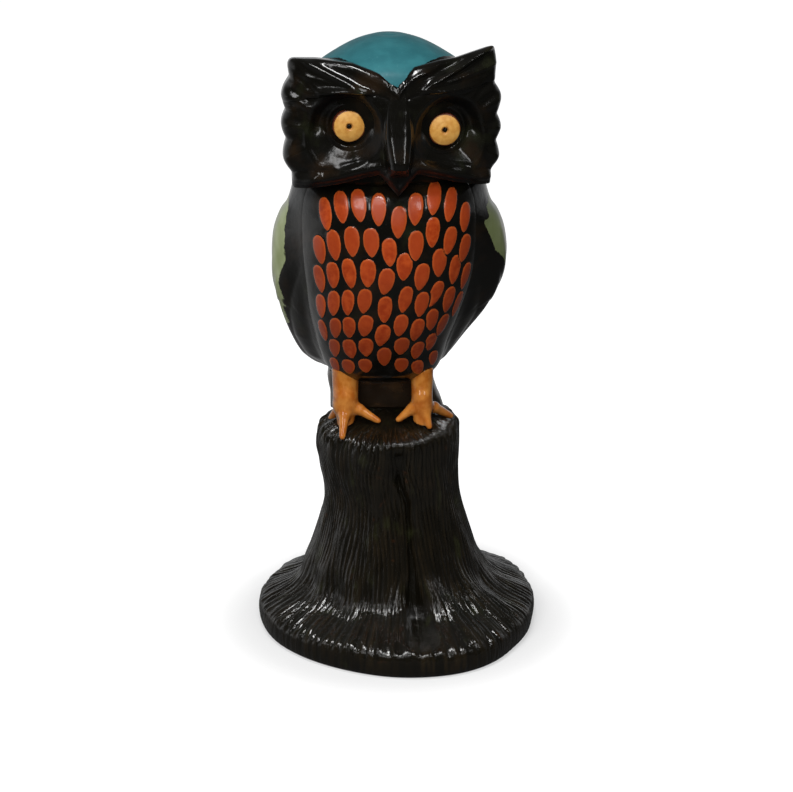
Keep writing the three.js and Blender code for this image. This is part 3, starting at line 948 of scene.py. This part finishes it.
def make_pupil(side, name):
    """The dark pin head that sits in the eye's hole."""
    angle = np.linspace(0, 2 * math.pi, 32, endpoint=False)[None, :]
    t = np.linspace(0.05, 1, 8)[:, None] * math.pi / 2
    cap = round_eye(side, name, PIN_RADIUS * np.sin(t), angle, PUPIL_FRONT + 0.7 * (1 - np.cos(t)))
    points = np.vstack([cap, with_back(cap[-1:], PUPIL_FOOT)])[::-1]
    return tube_object("pupil_pin_" + name, turned(points.reshape(-1, 3)).reshape(points.shape))


# ---------------- node helpers and materials


class Graph:
    """Short ways to add nodes to a node tree."""

    def __init__(self, tree):
        self.nodes, self.links = tree.nodes, tree.links

    def feed(self, socket, value):
        if isinstance(value, bpy.types.NodeSocket):
            self.links.new(value, socket)
        elif isinstance(value, tuple):
            socket.default_value = value + (1,)
        else:
            socket.default_value = value

    def add(self, kind, *values, **settings):
        """A new node with these settings and these values in its first inputs; gives its outputs."""
        node = self.nodes.new("ShaderNode" + kind)
        for key, setting in settings.items():
            setattr(node, key, setting)
        for socket, value in zip(node.inputs, values):
            self.feed(socket, value)
        return node.outputs

    def math(self, operation, *values):
        return self.add("Math", *values, operation=operation)[0]

    def scaled(self, value, factor, offset=0.0):
        """value x factor + offset."""
        return self.math("MULTIPLY_ADD", value, factor, offset)

    def vector(self, operation, *values):
        return self.add("VectorMath", *values, operation=operation)[0]

    def ramp(self, value, low, high, start=0.0, end=1.0):
        """start to end as value goes from low to high."""
        return self.add("MapRange", value, low, high, start, end, interpolation_type="SMOOTHSTEP")[0]

    def mix(self, factor, a, b):
        node = self.nodes.new("ShaderNodeMix")
        node.data_type = "RGBA"
        for key, value in (("Factor", factor), ("A", a), ("B", b)):
            self.feed(node.inputs[key], value)
        return node.outputs["Result"]

    def coordinates(self, kind):
        """The X, Y and Z of a texture coordinate."""
        return self.add("SeparateXYZ", self.add("TexCoord")[kind])

    def seen_by_camera(self):
        return self.add("LightPath")["Is Camera Ray"]


class Paint(Graph):
    """A Principled material that is painted in the piece's own coordinates, under a clear coat."""

    def __init__(self, name, coat=0.0, coat_roughness=0.0):
        self.material = bpy.data.materials.new(name)
        self.material.use_nodes = True
        super().__init__(self.material.node_tree)
        self.shader = self.nodes["Principled BSDF"]
        self.place = self.add("TexCoord")["Object"]
        self.set(Coat_Weight=coat, Coat_Roughness=coat_roughness)

    def set(self, **values):
        for key, value in values.items():
            self.feed(self.shader.inputs[key.replace("_", " ")], value)

    def noise(self, size_mm, detail, stretch=(1, 1, 1), place=None):
        """Noise from 0 to 1 whose features are about size_mm across."""
        place = place or self.vector("MULTIPLY", self.place, Vector(stretch))
        return self.add("TexNoise", place, 0.0, 1 / (size_mm * MM), detail)["Fac"]

    def streaks(self, width_mm, detail, along=0.06):
        """Noise drawn out into lines that run down the stump and out over its foot."""
        outward = self.vector("NORMALIZE", self.vector("MULTIPLY", self.place, Vector((1, 1, 0))))
        ring = self.vector("MULTIPLY", outward, 0.5 * BASE_RADIUS * MM * Vector((1, 1, 1)))
        place = self.vector("MULTIPLY_ADD", self.place, along * Vector((1, 1, 1)), ring)
        return self.noise(width_mm, detail, place=place)

    def clouds(self, size_mm, detail, low, high, stretch=(1, 1, 1)):
        """Soft-edged patches: 1 where the noise is above high, 0 where it is below low."""
        return self.ramp(self.noise(size_mm, detail, stretch), low, high)

    def attribute(self, name):
        return self.add("Attribute", attribute_name=name)["Fac"]

    def relief(self, *layers):
        """Bump from (height, depth in mm) layers."""
        normal = None
        for height, depth in layers:
            node = self.nodes.new("ShaderNodeBump")
            self.feed(node.inputs["Distance"], depth * MM)
            self.feed(node.inputs["Height"], height)
            if normal:
                self.feed(node.inputs["Normal"], normal)
            normal = node.outputs[0]
        self.set(Normal=normal, Coat_Normal=normal)


BLACK = (0.0031, 0.0028, 0.0020)
# Near-black for the painted shade in the eyes' hollows and under the face.
BLACK_PAINTED_SHADE = (0.0006, 0.0006, 0.0005)
UMBER = (0.013, 0.0075, 0.0035)
OLIVE_BLACK = (0.010, 0.011, 0.005)
TEAL = (0.032, 0.155, 0.176)
TEAL_DARK = (0.021, 0.112, 0.132)
TEAL_FLECK = (0.10, 0.26, 0.27)
OCHRE = (0.58, 0.32, 0.08)
OCHRE_DARK = (0.46, 0.21, 0.04)
OCHRE_RING = (0.30, 0.11, 0.03)
OCHRE_RIM = (0.07, 0.014, 0.006)
LEG = (0.52, 0.195, 0.033)
LEG_DARK = (0.37, 0.098, 0.010)
LEG_STREAK = (0.62, 0.27, 0.06)
ORANGE = (0.42, 0.062, 0.010)
ORANGE_DARK = (0.28, 0.030, 0.004)
ORANGE_SHADE = (0.30, 0.040, 0.008)
ORANGE_MIDDLE = (0.50, 0.125, 0.02)
OLIVE = (0.36, 0.40, 0.235)
OLIVE_DARK = (0.24, 0.28, 0.13)
# Darker olive for the painted shade on the left wing.
OLIVE_SHADE = (0.045, 0.06, 0.012)
BARK = (0.0045, 0.0038, 0.0022)
BARK_WORN = (0.016, 0.011, 0.005)
BARK_OLIVE = (0.018, 0.019, 0.007)
RUST = (0.09, 0.03, 0.009)
TAIL = (0.020, 0.013, 0.008)
TAIL_WORN = (0.055, 0.030, 0.014)
WOOD = (0.58, 0.36, 0.18)
WOOD_DARK = (0.35, 0.19, 0.08)


def black_base(p):
    """The lacquered ground: near-black with umber and olive clouds."""
    warm = p.mix(p.clouds(16, 4, 0.5, 0.75), BLACK, UMBER)
    return p.mix(p.clouds(11, 3, 0.55, 0.8, (1, 1, 0.7)), warm, OLIVE_BLACK)


def burnish(p, gloss, extra=0.0):
    """Uneven hand-rubbed gloss and the fine relief of tool marks under the lacquer."""
    spread = 0.09
    uneven = p.scaled(p.noise(7, 4), spread, gloss - spread / 2)
    p.set(Roughness=p.math("ADD", uneven, extra))
    p.relief((p.noise(5.5, 2), 0.22), (p.noise(0.9, 3), 0.012))


def black_lacquer():
    p = Paint("black_lacquer", coat=0.15, coat_roughness=0.08)
    dull_and_shade = p.attribute("matte")
    # Where the paint is duller it is also darkened towards near-black as painted shade, in the eyes'
    # hollows under the brow and under the face.
    p.set(Base_Color=p.mix(p.scaled(dull_and_shade, 0.75), black_base(p), BLACK_PAINTED_SHADE))
    burnish(p, 0.17, extra=p.scaled(dull_and_shade, 0.4))
    return p


def crown_paint():
    """Teal crown with a hand-cut edge on the black ground."""
    p = Paint("crown_teal")
    edge = p.math("ADD", p.attribute("cap"), p.scaled(p.noise(3.5, 2), 1.2))
    inside = p.ramp(edge, 0.5, 0.8)
    teal = p.mix(p.clouds(9, 5, 0.3, 0.75, (1, 1, 1.6)), TEAL_DARK, TEAL)
    teal = p.mix(p.scaled(p.clouds(1.3, 4, 0.62, 0.75), 0.25), teal, TEAL_FLECK)
    p.set(Base_Color=p.mix(inside, black_base(p), teal), Specular_IOR_Level=0.18)
    p.set(Roughness=p.scaled(inside, 0.28, 0.15))
    p.relief((p.noise(5.5, 2), 0.2), (p.noise(0.8, 4), 0.03), (inside, 0.12))
    return p


def breast_paint():
    """Burnt-orange drops, lighter inside a darker border, on the black ground."""
    p = Paint("breast_feathers", coat=0.3, coat_roughness=0.09)
    d = p.math("ADD", p.attribute("feather"), p.scaled(p.noise(2.2, 2), 0.5, -0.25))
    inside = p.ramp(d, 0.06, -0.12)
    orange = p.mix(p.clouds(2.8, 5, 0.3, 0.75), ORANGE_DARK, ORANGE)
    orange = p.mix(p.ramp(p.attribute("tint"), -1.6, 1.2), ORANGE_SHADE, orange)
    orange = p.mix(p.scaled(p.ramp(d, -1.0, -0.5), 0.25), orange, ORANGE_MIDDLE)
    p.set(Base_Color=p.mix(inside, black_base(p), orange))
    p.set(Roughness=p.scaled(inside, 0.08, 0.18))
    p.relief((p.noise(5.5, 2), 0.2), (p.noise(0.7, 4), 0.02), (inside, 0.06))
    return p


def wing_paint():
    """Olive patch with a ragged edge and dark lines between the primaries, with painted shade darkening the
    left wing.
    """
    p = Paint("wing_olive", coat=0.3, coat_roughness=0.1)
    edge = p.math("ADD", p.attribute("patch"), p.scaled(p.noise(2.6, 4), 1.2, -0.6))
    inside = p.ramp(edge, -0.15, 0.25)
    green = p.mix(p.clouds(6, 5, 0.3, 0.7, (1, 1, 0.35)), OLIVE_DARK, OLIVE)
    green = p.mix(p.scaled(p.ramp(p.attribute("valley"), 0.35, 0.1), 0.9), green, UMBER)
    # The owl's left wing, on the side away from the key light, is painted darker olive as shade.
    left_wing_painted_shade = p.ramp(p.coordinates("Object")["X"], -20 * MM, 20 * MM)
    green = p.mix(p.scaled(left_wing_painted_shade, 0.62), green, OLIVE_SHADE)
    p.set(Base_Color=p.mix(inside, black_base(p), green))
    p.set(Roughness=p.scaled(inside, 0.12, 0.17))
    p.relief((p.noise(5.5, 2), 0.22), (p.noise(0.8, 4), 0.02), (inside, 0.08))
    return p


def leg_paint():
    """Ochre-orange with paler vertical streaks."""
    p = Paint("leg_ochre", coat=0.8, coat_roughness=0.06)
    colour = p.mix(p.clouds(4.5, 5, 0.3, 0.7), LEG_DARK, LEG)
    streak = p.clouds(1.6, 4, 0.55, 0.8, (1, 1, 0.3))
    p.set(Base_Color=p.mix(p.scaled(streak, 0.45), colour, LEG_STREAK))
    burnish(p, 0.14)
    return p


def eye_paint():
    """Ochre disc with a red-brown rim and a ring round its hole."""
    p = Paint("eye_ochre")
    out = p.attribute("rim")
    colour = p.mix(p.clouds(2.4, 5, 0.3, 0.75), OCHRE_DARK, OCHRE)
    colour = p.mix(p.scaled(p.ramp(out, 0.3, 0.22), 0.5), colour, OCHRE_RING)
    p.set(Base_Color=p.mix(p.ramp(out, 0.9, 0.985), colour, OCHRE_RIM), Specular_IOR_Level=0.4)
    p.set(Roughness=p.scaled(p.noise(2, 3), 0.15, 0.25))
    p.relief((p.noise(1.1, 4), 0.03), (p.noise(4, 2), 0.1))
    return p


def bark_lacquer():
    """Dark stained stump: worn brown crests, black grooves, painted shade in the hollow and crease under
    the rim, glossy lacquer.
    """
    p = Paint("bark_lacquer", coat=0.6, coat_roughness=0.08)
    lines = p.streaks(1.3, 4)
    # Crests are worn brown; the grooves stay black, and the hollow and crease under the rim stay dark as
    # painted shade.
    crest = p.math("MULTIPLY", p.ramp(p.attribute("groove"), -0.9, -0.05), p.ramp(lines, 0.35, 0.65))
    worn = p.math("MULTIPLY", crest, p.scaled(p.clouds(13, 4, 0.42, 0.7), 0.6, 0.4))
    colour = p.mix(worn, BARK, BARK_WORN)
    colour = p.mix(p.clouds(9, 3, 0.58, 0.8, (1, 1, 0.5)), colour, BARK_OLIVE)
    p.set(Base_Color=p.mix(p.scaled(p.clouds(6, 4, 0.66, 0.8), 0.25), colour, RUST))
    p.set(Roughness=p.scaled(p.noise(3, 4), 0.14, 0.1))
    p.relief((lines, 0.9), (p.streaks(0.6, 3), 0.3), (p.noise(4, 2), 0.15), (p.noise(0.6, 3), 0.015))
    return p


def tail_lacquer():
    p = Paint("tail_lacquer", coat=0.3, coat_roughness=0.1)
    p.set(Base_Color=p.mix(p.clouds(12, 4, 0.42, 0.7), TAIL, TAIL_WORN))
    burnish(p, 0.22)
    return p


def bare_wood():
    p = Paint("bare_wood")
    grain = p.noise(1.2, 5, (1, 1, 0.08))
    p.set(Base_Color=p.mix(grain, WOOD_DARK, WOOD), Roughness=0.65)
    p.relief((grain, 0.05))
    return p


# ---------------- studio

CAMERA_BACK = 3.1 * FIGURE_HEIGHT
CAMERA_UP = 1.443 * FIGURE_HEIGHT
CAMERA_TILT = math.radians(18.61)
CAMERA_LENS = 89.4
LIGHT_DISTANCE = 1.0
LIGHT_TARGET = Vector((0, 0, 0.6 * FIGURE_HEIGHT))
# Strength of the surroundings in front of the figure and behind it, and as the camera sees them.
STUDIO_FRONT = 0.03
STUDIO_BACK = 0.55
STUDIO_SEEN = 1.06
FLOOR_SEEN = (0.42, 0.42, 0.42)
FLOOR_DARK = (0.05, 0.05, 0.05)


def make_camera():
    data = bpy.data.cameras.new("camera")
    data.lens = CAMERA_LENS
    data.sensor_width = 36
    camera = bpy.data.objects.new("camera", data)
    camera.location = (0, -CAMERA_BACK, CAMERA_UP)
    camera.rotation_euler = (math.pi / 2 - CAMERA_TILT, 0, 0)
    bpy.context.scene.collection.objects.link(camera)
    bpy.context.scene.camera = camera


def softbox(name, azimuth, elevation, size, power, mirrored=True):
    """A rectangular soft light that looks at the figure's middle. Azimuth 0 is the viewer's side.

    Unless it is mirrored, the light only brightens the paint and makes no highlights.
    """
    data = bpy.data.lights.new(name, "AREA")
    data.shape = "RECTANGLE"
    data.size, data.size_y = size
    data.energy = power
    light = bpy.data.objects.new(name, data)
    turn, lift = math.radians(azimuth), math.radians(elevation)
    ray = Vector((math.sin(turn) * math.cos(lift), -math.cos(turn) * math.cos(lift), math.sin(lift)))
    light.location = LIGHT_TARGET + LIGHT_DISTANCE * ray
    light.rotation_euler = (-ray).to_track_quat("-Z", "Y").to_euler()
    light.visible_glossy = mirrored
    bpy.context.scene.collection.objects.link(light)


def make_lights():
    softbox("key_left", azimuth=-30, elevation=40, size=(0.14, 0.36), power=1.0)
    softbox("key_right", azimuth=34, elevation=38, size=(0.1, 0.36), power=0.8)
    softbox("overhead", azimuth=-8, elevation=64, size=(0.3, 0.14), power=4.2)
    softbox("fill", azimuth=-8, elevation=28, size=(0.8, 0.8), power=9.0, mirrored=False)


def make_world():
    """A studio that is white to the camera, dim on the viewer's side and above, brighter behind."""
    world = bpy.data.worlds.new("studio")
    bpy.context.scene.world = world
    world.use_nodes = True
    graph = Graph(world.node_tree)
    x, y, z = graph.coordinates("Generated")
    behind = graph.ramp(graph.scaled(x, -0.35, y), -0.3, 0.7)
    low = graph.ramp(z, 0.0, 0.5, 1.0, 0.12)
    glow = graph.math("MULTIPLY", behind, low)
    dim = graph.scaled(glow, STUDIO_BACK - STUDIO_FRONT, STUDIO_FRONT)
    seen = graph.scaled(graph.seen_by_camera(), STUDIO_SEEN)
    strength = graph.math("MAXIMUM", dim, seen)
    background = graph.nodes["Background"]
    graph.feed(background.inputs["Color"], (0.97, 0.985, 1))
    graph.feed(background.inputs["Strength"], strength)


def make_floor():
    """A sheet that the camera sees as white, with a painted shadow that darkens it a little close around
    the figure.

    To everything else it is dark at the front and glows behind the figure.
    """
    bpy.ops.mesh.primitive_plane_add(size=16, location=(0, 0, 0))
    floor = bpy.context.object
    floor.name = "floor"
    p = Paint("pale_floor")
    x, y, _ = p.coordinates("Object")
    glow = p.ramp(p.scaled(x, -0.5, y), -0.08, 0.75, 0.012, STUDIO_BACK)
    camera = p.seen_by_camera()
    distance = p.math("SQRT", p.scaled(x, x, p.scaled(y, y)))
    # The white that the camera sees is lowered close round the figure: a painted contact shadow.
    white = p.ramp(distance, 0.07, 0.125, 0.5, 1.0)
    emission = p.math("MAXIMUM", glow, p.math("MULTIPLY", camera, white))
    p.set(Base_Color=p.mix(camera, FLOOR_DARK, FLOOR_SEEN), Roughness=0.9, Specular_IOR_Level=0.1)
    p.set(Emission_Color=(1, 1, 1), Emission_Strength=emission)
    floor.data.materials.append(p.material)


# ---------------- assembly


def build():
    black = black_lacquer()
    dress(make_stump(), "bark", bark_lacquer(), "stump")
    dress(make_torso(), "black_lacquer", breast_paint(), "torso")
    dress(make_tail(), "bark", tail_lacquer(), "tail")
    dress(make_skull(), "blue_crown", crown_paint(), "head")
    face = make_face()
    dress(face["disc"], "black_lacquer", black, "face_mask")
    dress(face["beak"], "black_lacquer", black, "beak")
    olive, ochre, eye_ochre = wing_paint(), leg_paint(), eye_paint()
    for name, side in (("left", 1), ("right", -1)):
        dress(face[name], "black_lacquer", black, "ear_tuft_" + name)
        dress(make_wing(side, name), "wing_olive", olive, "wing_" + name)
        dress(make_leg(name), "leg_ochre", ochre, "leg_" + name)
        dress(make_eye(side, name), "eye_ochre", eye_ochre, "eye_" + name)
        dress(make_pupil(side, name), "black_lacquer", black, "eye_pin_" + name)
    wood = bare_wood()
    for name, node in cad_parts.items():
        if "dowel" in name or "peg" in name:
            node.data.materials.clear()
            node.data.materials.append(wood.material)


make_camera()
make_lights()
make_world()
make_floor()
build()

scene = bpy.context.scene
scene.view_settings.view_transform = "Standard"
scene.view_settings.look = "None"
